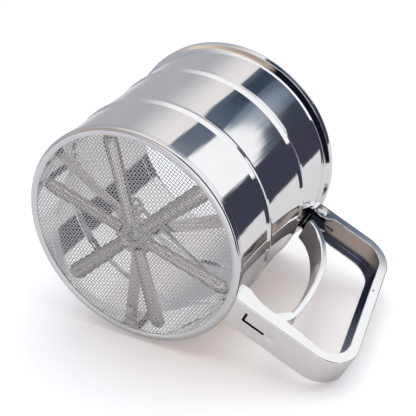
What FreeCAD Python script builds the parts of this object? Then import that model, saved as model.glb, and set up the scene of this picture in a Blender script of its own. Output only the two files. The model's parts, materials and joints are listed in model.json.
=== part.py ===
"""Hand flour sifter: a beaded steel cup with a woven screen in its base, a six-armed agitator that sweeps
the screen, and a loop handle with a sprung trigger that pulls the agitator round through a rod.

Frame: millimetres, +Z up, origin at the centre of the base ring's underside, handle towards +X."""

import FreeCAD
import Part
import math
import os
from FreeCAD import Vector as V

os.makedirs("parts", exist_ok=True)

# ---- driving dimensions -------------------------------------------------------------------------------
# Base ring and cup
ring_radius = 50.0
ring_height = 3.6
ring_sheet = 0.55
ring_floor = 0.6
ring_roll = 1.7
ring_width = 3.6
cup_height = 92.8
cup_sheet = 0.6
cup_bend = 1.0
cup_lip = 2.5
bead_heights = (28.3, 61.5)
bead_rise = 1.0
bead_half_width = 2.0
neck_drop = 7.4
neck_rise = 1.0
neck_step = 0.4
rim_roll = 1.2
rim_curl_end = -60.0
turned_chord = 45.0
rim_chord = 48.0
wire_sides = 8

# Woven screen: every second wire of the real cloth, as two crossing layers
wire = 0.36
wire_pitch = 2.6
weave_angle = 6.5

# Agitator
arm_count = 6
arm_angle = -7.5
arm_tip_gap = 3.2
arm_tip_half_width = 3.8
arm_root_half_width = 3.0
arm_root_radius = 6.5
arm_drop = 2.1
arm_sheet = 0.5
screen_gap = 0.55
hub_radius = 9.2
hub_sheet = 0.5

# Centre pin, washer and bush
pin_radius = 1.6
pin_head_radius = 2.8
pin_head = 1.0
washer_sheet = 0.3
washer_radius = 3.6
bush_radius = 3.0
bush_stake_radius = 2.4
rivet_radius = 2.6
rivet_height = 0.8

# Three-armed spider that carries the pin
spider_angle = 72.0
spider_sheet = 0.8
spider_hub_radius = 7.0
spider_root_half_width = 2.2
spider_tip_half_width = 3.0
spider_foot = 7.0
spider_bend = 1.6
spider_gap = 0.85

# Pull rod and its crank slot
rod_radius = 0.8
rod_bend = 1.25
rod_gap = 0.5
rod_chord = 30.0
crank_radius = 14.2
crank_angle = -109.0
crank_slot_play = 0.5
crank_slot_in = 1.0
crank_slot_out = 1.35
crank_lug_margin = 2.0
eye_bore = 1.45
eye_neck = 1.6
eye_wrap = 290.0
eye_y = 1.0
clip_radius = 1.9
clip_sheet = 0.4
hook_tail = 0.4

# Handle: one channel bent to a loop, its web outwards. Reaches and offsets along X start at the cup's wall.
strap_half_width = 7.1
strap_sheet = 0.8
strap_bend = 1.2
strap_root_z = 1.7
strap_low_rise = 1.4
strap_low_reach = 54.8
strap_high_drop = 6.7
strap_high_reach = 41.3
strap_corner_radius = 15.0
flange_depth = 4.3
gusset_line = ((-2.0, 9.5), (2.6, 9.5), (6.2, 7.9), (11.0, 6.7), (20.0, 6.9), (30.0, 6.3), (40.0, 5.4))
lobe_line = ((-6.0, -0.4), (-3.2, -2.6), (0.2, -4.0), (3.3, -2.7), (6.0, -0.4), (10.5, 0.2))
tab_width = 3.0
tab_height = 5.0
tab_sheet = 0.6
hang_hole_height = 53.3
hang_hole_inset = 3.0
hang_hole_radius = 0.6
web_slot_offset = 7.0
web_slot_run = 9.6
web_slot_y = 0.4
web_slot_half_width = 0.6
web_slot_head = 3.6
web_dimple_offset = 20.1
web_dimple_radius = 2.0
web_dimple_depth = 0.35

# Trigger: a curved channel, its smooth web towards the cup. Its line is given as the offset from the wall
# and the share of the drop from the pivot to the tail pin.
pivot_offset = 4.8
pivot_drop = 4.2
pivot_radius = 1.5
pivot_head_radius = 2.9
pivot_head = 1.1
collar_radius = 2.4
collar_sheet = 0.8
tail_offset = 16.6
tail_height = 4.6
tail_pin_radius = 1.2
tail_spacer_radius = 2.2
trigger_line = ((2.2, 0.136), (7.2, 0.172), (12.8, 0.255), (17.8, 0.393), (20.4, 0.581), (21.1, 0.766),
                (20.3, 0.893), (18.2, 0.951))
trigger_half_width = 5.9
trigger_sheet = 0.8
trigger_flange = 2.8
trigger_swing = 9.2
ear_radius = 3.1
tail_radius = 2.7
line_tolerance = 0.04

# Return spring on the pivot
spring_wire = 0.9
spring_radius = 2.75
spring_turns = 3
spring_pitch = 1.05
spring_chord = 30.0
spring_leg_angle = 204.0
spring_leg = 10.6
spring_foot = 8.5
sleeve_radius = 2.1

# Clearances
fit = 0.05
seat = 0.05
side_play = 0.1
eye_side_play = 0.7
window_play = 0.5

# ---- values worked out from them ----------------------------------------------------------------------
wall = ring_radius - ring_sheet - fit
bore = wall - cup_sheet
neck = wall + neck_step
neck_start = cup_height - neck_drop
rim_centre = (neck - cup_sheet + rim_roll, cup_height - rim_roll)
screen_top = ring_floor + 2 * wire
lip_bottom = screen_top + seat
screen_radius = wall - cup_bend
arm_bottom = screen_top + screen_gap
arm_end = bore - arm_tip_gap - arm_tip_half_width
hub_top = arm_bottom + arm_drop
hub_bottom = hub_top - hub_sheet
washer_bottom = hub_bottom - seat - washer_sheet
crank = (crank_radius * math.cos(math.radians(crank_angle)), crank_radius * math.sin(math.radians(crank_angle)))
rod_z = hub_top + rod_gap + rod_radius
spider_bottom = rod_z + rod_radius + spider_gap
spider_top = spider_bottom + spider_sheet
strap_inner = strap_half_width - strap_sheet
strap_top_z = cup_height - strap_high_drop
strap_slope = strap_low_rise / strap_low_reach
pivot = (wall + pivot_offset, strap_top_z - pivot_drop)
tail_pin = (wall + tail_offset, strap_root_z + tail_height)
trigger_inner = trigger_half_width - trigger_sheet


# ---- helpers ------------------------------------------------------------------------------------------
def save(name, shape):
    """Writes one node. A shape of several solids stays a compound of separate solids."""
    shape.exportStep(f"parts/{name}.step")
    size = shape.BoundBox
    print(f"{name}: {len(shape.Solids)} solid(s), valid {shape.isValid()}, volume {shape.Volume:.1f},"
          f" x {size.XMin:.2f}..{size.XMax:.2f}, z {size.ZMin:.2f}..{size.ZMax:.2f}")


def line(a, b):
    return Part.LineSegment(a, b).toShape()


def arc(a, middle, b):
    return Part.Arc(a, middle, b).toShape()


def upright(points):
    """Points given as (x, z) pairs, in the XZ plane."""
    return [V(x, 0, z) for x, z in points]


def closed(points):
    """A closed wire of straight lines through (x, z) pairs."""
    corners = upright(points)
    return Part.makePolygon(corners + corners[:1])


def roll(centre, radius, start, end, chord=turned_chord):
    """Points along a turned bend, as chords of at most that many degrees."""
    count = math.ceil(abs(end - start) / chord - 1e-9)
    angles = [math.radians(start + (end - start) * k / count) for k in range(count + 1)]
    return [(centre[0] + radius * math.cos(a), centre[1] + radius * math.sin(a)) for a in angles]


def turned(points):
    """Revolves a closed profile of (radius, z) pairs about the Z axis."""
    return Part.Face(closed(points)).revolve(V(0, 0, 0), V(0, 0, 1), 360)


def disc(radius, bottom, height, x=0.0, y=0.0):
    return Part.makeCylinder(radius, height, V(x, y, bottom))


def across(radius, centre, y0, y1):
    """A cylinder along Y, centred on a point of the XZ plane."""
    return Part.makeCylinder(radius, y1 - y0, V(centre[0], y0, centre[1]), V(0, 1, 0))


def extruded(wire_, y0, y1):
    """Extrudes a closed wire of the XZ plane across Y."""
    face = Part.Face(wire_)
    face.translate(V(0, y0, 0))
    return face.extrude(V(0, y1 - y0, 0))


def bent(points, bend, chord):
    """A line of points whose inner corners are rounded to a bend, laid as chords of at most that angle."""
    dirs = [(b - a).normalize() for a, b in zip(points, points[1:])]
    path = [points[0]]
    for corner, before, after in zip(points[1:-1], dirs, dirs[1:]):
        turn = math.acos(before.dot(after))
        inward = (after - before).normalize()
        centre = corner + inward * (bend / math.cos(turn / 2))
        count = math.ceil(math.degrees(turn) / chord)
        for k in range(count + 1):
            angle = turn * (k / count - 0.5)
            forward = (before + after).normalize()
            path.append(centre - inward * (bend * math.cos(angle)) + forward * (bend * math.sin(angle)))
    return path + [points[-1]]


def piped(points, radius):
    """A wire along a line of points, mitred where it turns, its round section laid as chords."""
    heading = (points[1] - points[0]).normalize()
    section = Part.Circle(points[0], heading, radius).toShape().discretize(wire_sides + 1)
    return Part.makePolygon(points).makePipeShell([Part.makePolygon(section)], True, False, 1)


def domed_head(radius, height):
    """A shallow domed rivet head on Z = 0, its crown down."""
    bend = (radius ** 2 + height ** 2) / (2 * height)
    half = math.degrees(math.asin(radius / bend))
    return turned([(0, 0)] + roll((0, bend - height), bend, half - 90, -90))


# ---- cup and screen -----------------------------------------------------------------------------------
def beaded_side(radius, sheet):
    """A wall line with its beads, from the lowest upwards. The sheet is what lies outside the line."""
    outer_bend = (bead_half_width ** 2 + bead_rise ** 2) / (2 * bead_rise)
    centre = wall + bead_rise - outer_bend
    bend = outer_bend - sheet
    half = math.degrees(math.acos((radius - centre) / bend))
    points = []
    for height in bead_heights:
        points += roll((centre, height), bend, -half, half)
    return points


def cup_body():
    shoulder = neck_start + neck_rise
    foot = lip_bottom + cup_bend
    outside = [(wall - cup_lip, lip_bottom), (wall - cup_bend, lip_bottom), (wall, foot)] + beaded_side(wall, 0)
    outside += [(wall, neck_start), (neck, shoulder)]
    outside += roll(rim_centre, rim_roll - cup_sheet, 180, rim_curl_end, rim_chord)
    inside = [(wall - cup_lip, lip_bottom + cup_sheet), (wall - cup_bend, lip_bottom + cup_sheet), (bore, foot)]
    inside += beaded_side(bore, cup_sheet) + [(bore, neck_start), (neck - cup_sheet, shoulder)]
    inside += roll(rim_centre, rim_roll, 180, rim_curl_end, rim_chord)
    return turned(outside + inside[::-1]).cut(rod_window())


def base_ring():
    inside = wall + fit
    bend = cup_bend - seat
    edge = ring_radius - ring_width
    return turned([(ring_radius, ring_height)] + roll((ring_radius - ring_roll, ring_roll), ring_roll, 0, -90)
                  + [(edge, 0), (edge, ring_floor), (inside - bend, ring_floor), (inside, ring_floor + bend),
                     (inside, ring_height)])


def mesh_screen():
    """Two layers of straight wires, the upper across the lower, each wire as long as its chord."""
    wires = []
    reach = screen_radius - wire
    count = int(reach / wire_pitch)
    for layer in range(2):
        for k in range(-count, count + 1):
            half = math.sqrt(reach ** 2 - (k * wire_pitch) ** 2)
            bar = Part.makeBox(2 * half, wire, wire, V(-half, k * wire_pitch - wire / 2, ring_floor + layer * wire))
            bar.rotate(V(0, 0, 0), V(0, 0, 1), weave_angle + 90 * layer)
            wires.append(bar)
    return Part.makeCompound(wires)


# ---- agitator and what carries it ---------------------------------------------------------------------
def spindle(sheet):
    """An arm's rounded underside as a solid cone with a ball end, moved in by this much sheet."""
    ends = []
    for half_width, x in ((arm_root_half_width, arm_root_radius), (arm_tip_half_width, arm_end)):
        bend = (half_width ** 2 + arm_drop ** 2) / (2 * arm_drop)
        ends.append((V(x, 0, arm_bottom + bend), bend - sheet))
    (root, root_bend), (tip, tip_bend) = ends
    along = tip - root
    cone = Part.makeCone(root_bend, tip_bend, along.Length, root, along)
    return cone.fuse(Part.makeSphere(tip_bend, tip, along, 0, 90, 360))


def arm():
    """One pressed arm along X: a widening trough with a round end, its back towards the screen."""
    reach = arm_end + 3 * arm_tip_half_width
    below = Part.makeBox(reach, reach, 2 * arm_drop, V(0, -reach / 2, hub_top - 2 * arm_drop))
    return spindle(0).cut(spindle(arm_sheet)).common(below)


def crank_slot(half_width, bottom, top):
    """A round-ended slot along the crank's radius, long enough for the rod's hook to ride in."""
    near = crank_radius - crank_slot_in
    far = crank_radius + crank_slot_out
    slot = Part.makeBox(far - near, 2 * half_width, top - bottom, V(near, -half_width, bottom))
    slot = slot.fuse([disc(half_width, bottom, top - bottom, end) for end in (near, far)])
    slot.rotate(V(0, 0, 0), V(0, 0, 1), crank_angle)
    return slot


def agitator_wheel():
    blades = []
    for k in range(arm_count):
        blade = arm()
        blade.rotate(V(0, 0, 0), V(0, 0, 1), arm_angle + 360 / arm_count * k)
        blades.append(blade)
    slot_half_width = rod_radius + crank_slot_play
    lug = crank_slot(slot_half_width + crank_lug_margin, hub_bottom, hub_top)
    hub = disc(hub_radius, hub_bottom, hub_sheet).fuse(lug).removeSplitter()
    slot = crank_slot(slot_half_width, arm_bottom, hub_top + 1)
    return hub.fuse(blades).cut([slot, disc(bush_stake_radius, arm_bottom, arm_drop + 1)])


def agitator_bush():
    """A sleeve staked in the hub, which turns on the pin."""
    stake = disc(bush_stake_radius, hub_bottom, hub_sheet)
    body = disc(bush_radius, hub_top, spider_bottom - seat - hub_top)
    return stake.fuse(body).cut(disc(pin_radius + fit, hub_bottom - 1, spider_top)).removeSplitter()


def thrust_washer():
    return disc(washer_radius, washer_bottom, washer_sheet).cut(disc(pin_radius, washer_bottom - 1, 2))


def centre_pin():
    head = domed_head(pin_head_radius, pin_head)
    head.translate(V(0, 0, washer_bottom))
    return disc(pin_radius, washer_bottom, spider_top - washer_bottom).fuse(head).removeSplitter()


def pin_rivet():
    """The collar that the pin's upper end is closed over, on top of the spider."""
    return disc(rivet_radius, spider_top, rivet_height)


def spider_bracket():
    """A flat star of three strips that turn up into feet against the wall."""
    star = disc(spider_hub_radius, spider_bottom, spider_sheet)
    foot_face = bore - seat
    bend_x = foot_face - spider_bend
    top = spider_bottom + spider_foot
    centre = (bend_x, spider_bottom + spider_bend)
    foot = (roll(centre, spider_bend, -90, 0) + [(foot_face, top), (foot_face - spider_sheet, top)]
            + roll(centre, spider_bend - spider_sheet, 0, -90))
    strip = [V(0, -spider_root_half_width, spider_bottom), V(bend_x, -spider_tip_half_width, spider_bottom),
             V(bend_x, spider_tip_half_width, spider_bottom), V(0, spider_root_half_width, spider_bottom)]
    for k in range(3):
        limb = Part.Face(Part.makePolygon(strip + strip[:1])).extrude(V(0, 0, spider_sheet))
        limb = limb.fuse(extruded(closed(foot), -spider_tip_half_width, spider_tip_half_width))
        limb.rotate(V(0, 0, 0), V(0, 0, 1), spider_angle + 120 * k)
        star = star.fuse(limb)
    inside = disc(foot_face, spider_bottom - 1, spider_foot + 2)
    return star.common(inside).cut(disc(pin_radius, spider_bottom - 1, 4)).removeSplitter()


# ---- pull rod -----------------------------------------------------------------------------------------
def tail_at(swing):
    """Where the tail pin's centre lies when the trigger has swung this many degrees."""
    reach = math.hypot(tail_pin[0] - pivot[0], tail_pin[1] - pivot[1])
    angle = math.atan2(tail_pin[1] - pivot[1], tail_pin[0] - pivot[0]) + math.radians(swing)
    return V(pivot[0] + reach * math.cos(angle), eye_y, pivot[1] + reach * math.sin(angle))


def rod_window():
    """The hole in the cup wall that the rod slides and tilts in, from its rest to its full pull."""
    half = rod_radius + window_play
    crossings = []
    for swing in (0, trigger_swing):
        tail = tail_at(swing)
        hook = V(crank[0] + tail.x - tail_pin[0], crank[1], rod_z)
        crossings.append(hook + (tail - hook) * ((wall - hook.x) / (tail.x - hook.x)))
    rest, pulled = crossings
    return Part.makeBox(4 * cup_sheet, rest.y - pulled.y + 2 * half, pulled.z - rest.z + 2 * half,
                        V(wall - 3 * cup_sheet, pulled.y - half, rest.z - half))


def pull_rod():
    """A round wire: a hook down through the crank slot, a straight run, and an eye round the tail pin."""
    hook = V(crank[0], crank[1], rod_z)
    centre = tail_at(0)
    along = (centre - hook).normalize()
    up = along.cross(V(0, 0, 1)).normalize().cross(along)
    eye_radius = eye_bore + rod_radius
    neck_back = math.sqrt(eye_radius ** 2 + 2 * eye_radius * eye_neck)
    neck_turn = math.degrees(math.atan2(neck_back, eye_neck))
    points = bent([V(crank[0], crank[1], arm_bottom + hook_tail), hook, centre - along * neck_back],
                  rod_bend, rod_chord)
    steps = math.ceil(neck_turn / rod_chord)
    for k in range(1, steps):
        angle = math.radians(90 - neck_turn * k / steps)
        points.append(centre - along * (neck_back - eye_neck * math.cos(angle))
                      - up * (eye_neck - eye_neck * math.sin(angle)))
    steps = math.ceil(eye_wrap / rod_chord)
    first = 180 + math.degrees(math.atan2(eye_neck, neck_back))
    for k in range(steps + 1):
        angle = math.radians(first + eye_wrap * k / steps)
        points.append(centre + along * (eye_radius * math.cos(angle)) + up * (eye_radius * math.sin(angle)))
    return piped(points, rod_radius)


def rod_clip():
    """A push-on washer that keeps the hook in the crank slot."""
    blank = disc(clip_radius, arm_bottom + hook_tail, clip_sheet, *crank)
    return blank.cut(disc(rod_radius, arm_bottom, hook_tail + 2 * clip_sheet, *crank))


# ---- handle -------------------------------------------------------------------------------------------
def strap_points():
    """The loop's outer line: out along the bottom, up the grip and back along the top."""
    start = wall - 4
    return upright([(start, strap_root_z - strap_slope * 4), (wall + strap_low_reach, strap_root_z + strap_low_rise),
                    (wall + strap_high_reach, strap_top_z), (start, strap_top_z)])


def loop_line(inset):
    """The loop's line moved inwards: its edges, its first point and its last one."""
    points = strap_points()
    dirs = [(b - a).normalize() for a, b in zip(points, points[1:])]
    sides = [V(-d.z, 0, d.x) for d in dirs]
    bend = strap_corner_radius - inset
    edges, at = [], points[0] + sides[0] * inset
    first = at
    for k in range(1, len(points) - 1):
        half_turn = math.acos(dirs[k - 1].dot(dirs[k])) / 2
        inward = (sides[k - 1] + sides[k]).normalize()
        centre = points[k] + inward * (strap_corner_radius / math.cos(half_turn))
        a = centre - sides[k - 1] * bend
        b = centre - sides[k] * bend
        edges += [line(at, a), arc(a, centre - inward * bend, b)]
        at = b
    last = points[-1] + sides[-1] * inset
    return edges + [line(at, last)], first, last


def band(inset):
    """The area between the loop's outer line and the same line moved inwards."""
    outer, a0, a1 = loop_line(0)
    inner, b0, b1 = loop_line(inset)
    return Part.Wire(Part.__sortEdges__(outer + inner + [line(a0, b0), line(a1, b1)]))


def curved_area(points, base):
    """The area between a smooth line through points and a straight one at a base height."""
    curve = Part.BSplineCurve()
    curve.interpolate(points)
    smooth = [piece.toShape() for piece in curve.toBiArcs(line_tolerance)]
    first = V(points[0].x, 0, base)
    last = V(points[-1].x, 0, base)
    return Part.Wire(Part.__sortEdges__(smooth + [line(points[-1], last), line(last, first), line(first, points[0])]))


def flange():
    """One side of the channel: deeper where the lower run meets the cup, and lobed round the pivot."""
    side = extruded(band(flange_depth), -strap_half_width, -strap_inner)
    gusset = upright([(wall + x, strap_root_z + z) for x, z in gusset_line])
    lobe = upright([(pivot[0] + x, pivot[1] + z) for x, z in lobe_line])
    areas = ((gusset, strap_root_z + flange_depth / 2), (lobe, strap_top_z - flange_depth / 2))
    wider = [extruded(curved_area(points, base), -strap_half_width, -strap_inner) for points, base in areas]
    return side.fuse(wider).removeSplitter()


def rounded_loop():
    """Everything inside the loop's outer line, with the bend radius along both of its long corners."""
    edges, start, end = loop_line(0)
    whole = extruded(Part.Wire(Part.__sortEdges__(edges + [line(start, end)])), -strap_half_width, strap_half_width)
    corners = []
    for edge in whole.Edges:
        middle = edge.valueAt((edge.FirstParameter + edge.LastParameter) / 2)
        if edge.BoundBox.YLength < 1e-3 and middle.x > start.x + 1e-3:
            corners.append(edge)
    return whole.makeFillet(strap_bend, corners)


def cup_clearance():
    """The cup and ring as one solid, a seat's clearance larger, that the handle's ends are trimmed to."""
    ring_side = ring_radius + seat
    ring_edge = ring_height + seat
    top = strap_top_z + 1
    return turned([(0, -1), (ring_side, -1), (ring_side, ring_edge), (wall + seat, ring_edge),
                   (wall + seat, neck_start - seat), (neck + 2 * seat, neck_start + neck_rise - seat),
                   (neck + 2 * seat, top), (0, top)])


def weld_tabs():
    """Ends of the side flanges turned in against the wall: both at the top, the far one at the bottom."""
    tabs = []
    top = pivot[1] - tab_height / 2
    bottom = ring_height + 2 * seat
    for y, z in ((-strap_inner, top), (strap_inner - tab_width, top), (strap_inner - tab_width, bottom)):
        blank = Part.makeBox(4 * tab_width, tab_width, tab_height, V(wall - 2 * tab_width, y, z))
        tabs.append(blank.common(disc(wall + seat + tab_sheet, z, tab_height)))
    return tabs


def web_slot():
    """A narrow lengthwise slot in the lower web, with a short cross slot at its end nearest the cup."""
    width = 2 * web_slot_half_width
    deep = strap_root_z + strap_low_rise + 2 * strap_sheet
    x = wall + web_slot_offset
    y = web_slot_y - web_slot_head
    run = Part.makeBox(web_slot_run, width, deep, V(x, web_slot_y - web_slot_half_width, 0))
    head = Part.makeBox(width, web_slot_head, deep, V(x - web_slot_half_width, y, 0))
    ends = ((x, web_slot_y), (x + web_slot_run, web_slot_y), (x, y))
    return run.fuse([head] + [disc(web_slot_half_width, 0, deep, *end) for end in ends])


def handle_frame():
    web = extruded(band(strap_sheet), -strap_half_width, strap_half_width)
    near = flange()
    far = near.mirror(V(0, 0, 0), V(0, 1, 0))
    grip_lean = (strap_low_reach - strap_high_reach) / (strap_top_z - strap_root_z - strap_low_rise)
    hole = (wall + strap_low_reach - grip_lean * hang_hole_height - hang_hole_inset,
            strap_root_z + strap_low_rise + hang_hole_height)
    near = near.cut(across(hang_hole_radius, hole, -strap_half_width - 1, -strap_inner + 1))
    frame = web.fuse([near, far]).removeSplitter().common(rounded_loop())
    frame = frame.fuse(weld_tabs()).cut(cup_clearance())
    dimple_bend = (web_dimple_radius ** 2 + web_dimple_depth ** 2) / (2 * web_dimple_depth)
    under = strap_root_z + strap_slope * web_dimple_offset
    dimple = Part.makeSphere(dimple_bend, V(wall + web_dimple_offset, web_slot_y,
                                            under + web_dimple_depth - dimple_bend))
    pin_hole = across(pivot_radius, pivot, -strap_half_width - 1, strap_half_width + 1)
    return frame.cut([pin_hole, web_slot(), dimple]).removeSplitter()


# ---- trigger ------------------------------------------------------------------------------------------
def trigger_points():
    drop = pivot[1] - tail_pin[1]
    return [(wall + offset, pivot[1] - share * drop) for offset, share in trigger_line]


def trigger_edges(offset):
    """The trigger's line, moved outwards from the cup, as tangent arcs: its edges and its two ends."""
    curve = Part.BSplineCurve()
    curve.interpolate(upright(trigger_points()))
    steps = 3 * len(trigger_line)
    points = []
    for k in range(steps + 1):
        at = curve.FirstParameter + (curve.LastParameter - curve.FirstParameter) * k / steps
        run = curve.tangent(at)[0]
        points.append(curve.value(at) + V(-run.z, 0, run.x).normalize() * offset)
    moved = Part.BSplineCurve()
    moved.interpolate(points)
    return [piece.toShape() for piece in moved.toBiArcs(line_tolerance)], points[0], points[-1]


def trigger_band(depth):
    inner, inner_top, inner_end = trigger_edges(0)
    outer, outer_top, outer_end = trigger_edges(depth)
    ends = [line(inner_top, outer_top), line(inner_end, outer_end)]
    return Part.Wire(Part.__sortEdges__(inner + outer + ends))


def trigger_lever():
    lever = extruded(trigger_band(trigger_sheet), -trigger_half_width, trigger_half_width)
    path = trigger_points()
    top, shoulder = path[:2]
    low, end = path[-2:]
    ear_edge = pivot[0] + ear_radius
    ear = [(pivot[0] - ear_radius, pivot[1]), (top[0] - 0.3, top[1] + 0.4), (top[0] + 0.4, top[1] - 0.3),
           (shoulder[0] + trigger_flange - 0.4, shoulder[1] + 1.2), (ear_edge, pivot[1] - ear_radius),
           (ear_edge, pivot[1])]
    slant = tail_radius * math.sqrt(0.5)
    back = low[0] + trigger_flange
    tail = [(low[0] + 0.2, low[1]), (back, low[1] + 1), (back - 0.6, tail_pin[1] + 0.6),
            (tail_pin[0] + slant, tail_pin[1] - slant), (tail_pin[0] - tail_radius, tail_pin[1]),
            (end[0] - 0.3, end[1] - 0.3), end]
    for y in (-trigger_half_width, trigger_inner):
        side = extruded(trigger_band(trigger_flange), y, y + trigger_sheet)
        for area, centre, radius in ((ear, pivot, ear_radius), (tail, tail_pin, tail_radius)):
            side = side.fuse([extruded(closed(area), y, y + trigger_sheet),
                              across(radius, centre, y, y + trigger_sheet)])
        lever = lever.fuse(side)
    holes = [across(pivot_radius + fit, pivot, -strap_half_width, strap_half_width),
             across(tail_pin_radius, tail_pin, -strap_half_width, strap_half_width)]
    return lever.cut(holes).removeSplitter()


def trigger_pivot_pin():
    """A round-headed rivet through both flanges; the head is on the -Y side."""
    head = domed_head(pivot_head_radius, pivot_head)
    head.rotate(V(0, 0, 0), V(1, 0, 0), -90)
    head.translate(V(pivot[0], -strap_half_width, pivot[1]))
    return across(pivot_radius, pivot, -strap_half_width, strap_half_width + pivot_head).fuse(head).removeSplitter()


def ring_across(outer, inner, centre, y0, y1):
    return across(outer, centre, y0, y1).cut(across(inner, centre, y0 - 1, y1 + 1))


def pivot_collar():
    """The washer that the pivot pin is peened over."""
    return ring_across(collar_radius, pivot_radius, pivot, strap_half_width, strap_half_width + collar_sheet)


def pivot_washers():
    """A thin washer each side, between the trigger's ears and the handle's flanges."""
    sheet = strap_inner - trigger_half_width - side_play
    return Part.makeCompound([ring_across(ear_radius - 0.6, pivot_radius, pivot, y, y + sheet)
                              for y in (-strap_inner, strap_inner - sheet)])


def spring_sleeve():
    half = trigger_inner - side_play
    return ring_across(sleeve_radius, pivot_radius, pivot, -half, half)


def return_spring():
    """A torsion spring: its coil round the sleeve, one leg under the handle's web, one inside the trigger."""
    wound = 360 * spring_turns + spring_leg_angle - 90
    steps = math.ceil(wound / spring_chord)
    length = spring_pitch * wound / 360
    coil = []
    for k in range(steps + 1):
        angle = math.radians(spring_leg_angle - wound * k / steps)
        coil.append(V(pivot[0] + spring_radius * math.cos(angle), length * (k / steps - 0.5),
                      pivot[1] + spring_radius * math.sin(angle)))
    angle = math.radians(spring_leg_angle)
    leg = V(-math.sin(angle), 0, math.cos(angle)) * spring_leg
    return piped([coil[0] + leg] + coil + [coil[-1] + V(spring_foot, 0, 0)], spring_wire / 2)


def tail_pin_shape():
    half = trigger_half_width + side_play
    return across(tail_pin_radius, tail_pin, -half, half)


def tail_spacers():
    """A spacer each side of the rod's eye."""
    reach = rod_radius + eye_side_play
    runs = ((seat - trigger_inner, eye_y - reach), (eye_y + reach, trigger_inner - seat))
    return Part.makeCompound([ring_across(tail_spacer_radius, tail_pin_radius, tail_pin, y0, y1) for y0, y1 in runs])


save("cup_body", cup_body())
save("base_ring", base_ring())
save("mesh_screen", mesh_screen())
save("agitator_wheel", agitator_wheel())
save("agitator_bush", agitator_bush())
save("thrust_washer", thrust_washer())
save("centre_pin", centre_pin())
save("pin_rivet", pin_rivet())
save("spider_bracket", spider_bracket())
save("pull_rod", pull_rod())
save("rod_clip", rod_clip())
save("handle_frame", handle_frame())
save("trigger_lever", trigger_lever())
save("trigger_pivot_pin", trigger_pivot_pin())
save("pivot_collar", pivot_collar())
save("pivot_washers", pivot_washers())
save("spring_sleeve", spring_sleeve())
save("return_spring", return_spring())
save("tail_pin", tail_pin_shape())
save("tail_spacers", tail_spacers())
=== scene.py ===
"""Flour sifter: detailed pieces, materials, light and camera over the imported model.

Sizes are written in millimetres and times MM, and places come from the frame. +Z runs from the screen to
the rim."""

import json
import math

import bmesh
import bpy
from mathutils import Matrix, Vector

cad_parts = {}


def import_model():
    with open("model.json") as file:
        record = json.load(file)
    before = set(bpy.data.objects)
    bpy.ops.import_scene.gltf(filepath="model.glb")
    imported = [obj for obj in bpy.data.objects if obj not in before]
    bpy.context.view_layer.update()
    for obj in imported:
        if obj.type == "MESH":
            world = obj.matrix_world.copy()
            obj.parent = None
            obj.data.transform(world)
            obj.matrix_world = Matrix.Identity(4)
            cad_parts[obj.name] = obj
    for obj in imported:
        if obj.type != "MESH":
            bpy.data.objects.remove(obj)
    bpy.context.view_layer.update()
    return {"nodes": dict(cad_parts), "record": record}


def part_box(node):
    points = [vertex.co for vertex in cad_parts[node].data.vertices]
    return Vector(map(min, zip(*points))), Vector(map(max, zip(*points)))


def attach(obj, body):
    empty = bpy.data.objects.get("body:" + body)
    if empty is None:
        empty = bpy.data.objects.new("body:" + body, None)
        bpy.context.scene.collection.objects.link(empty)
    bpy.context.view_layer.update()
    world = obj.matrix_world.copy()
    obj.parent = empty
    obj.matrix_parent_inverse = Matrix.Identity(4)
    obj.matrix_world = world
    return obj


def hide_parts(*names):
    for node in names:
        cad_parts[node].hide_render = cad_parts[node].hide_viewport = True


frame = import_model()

MM = 0.001

# ---- places from the frame ----------------------------------------------------------------------------
joints = {joint["name"]: joint for joint in frame["record"]["behaviour"]["joints"]}
ring_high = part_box("base_ring")[1]
cup_low, cup_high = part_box("cup_body")
strap_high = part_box("handle_frame")[1]
screen_low, screen_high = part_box("mesh_screen")
wheel_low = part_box("agitator_wheel")[0]
pin_low, pin_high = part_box("centre_pin")
pivot = Vector(joints["trigger_pivot"]["pos_m"])
tail = Vector(joints["rod_pivot"]["pos_m"])
full_pull = math.radians(joints["trigger_pivot"]["range_deg"][1])

# ---- sizes that more than one piece takes -------------------------------------------------------------
seat_gap = 0.05 * MM
sheet = 0.6 * MM
wall = ring_high.x - 0.6 * MM
neck = wall + 0.4 * MM
neck_start = strap_high.z - 0.7 * MM
bead_heights = (28.3 * MM, 61.5 * MM)
hub_top = wheel_low.z + 2.1 * MM
wheel_sheet = 0.5 * MM
strap_half = strap_high.y
strap_sheet = 0.8 * MM
strap_root = 1.7 * MM
strap_top = strap_high.z
lever_half = 5.9 * MM
rod_radius = 0.8 * MM
rod_line = hub_top + 1.3 * MM
crank = Matrix.Rotation(math.radians(-109), 3, "Z") @ Vector((14.2 * MM, 0, 0))


# ---- mesh helpers -------------------------------------------------------------------------------------
def piece(name, vertices, faces):
    """A smooth-shaded mesh object."""
    mesh = bpy.data.meshes.new(name)
    mesh.from_pydata([tuple(v) for v in vertices], [], faces)
    mesh.update()
    shaped = bpy.data.objects.new(name, mesh)
    bpy.context.scene.collection.objects.link(shaped)
    tidy(shaped)
    return shaped


def tidy(shaped):
    """Welds doubles and turns every face outwards."""
    work = bmesh.new()
    work.from_mesh(shaped.data)
    bmesh.ops.remove_doubles(work, verts=work.verts, dist=1e-6)
    bmesh.ops.dissolve_degenerate(work, edges=work.edges, dist=1e-7)
    bmesh.ops.recalc_face_normals(work, faces=work.faces)
    work.to_mesh(shaped.data)
    work.free()
    shaped.data.shade_smooth()


def angles(sweep, count, start=0):
    """Evenly spaced angles from the start through the sweep, both ends included."""
    return [start + sweep * k / count for k in range(count + 1)]


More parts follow.
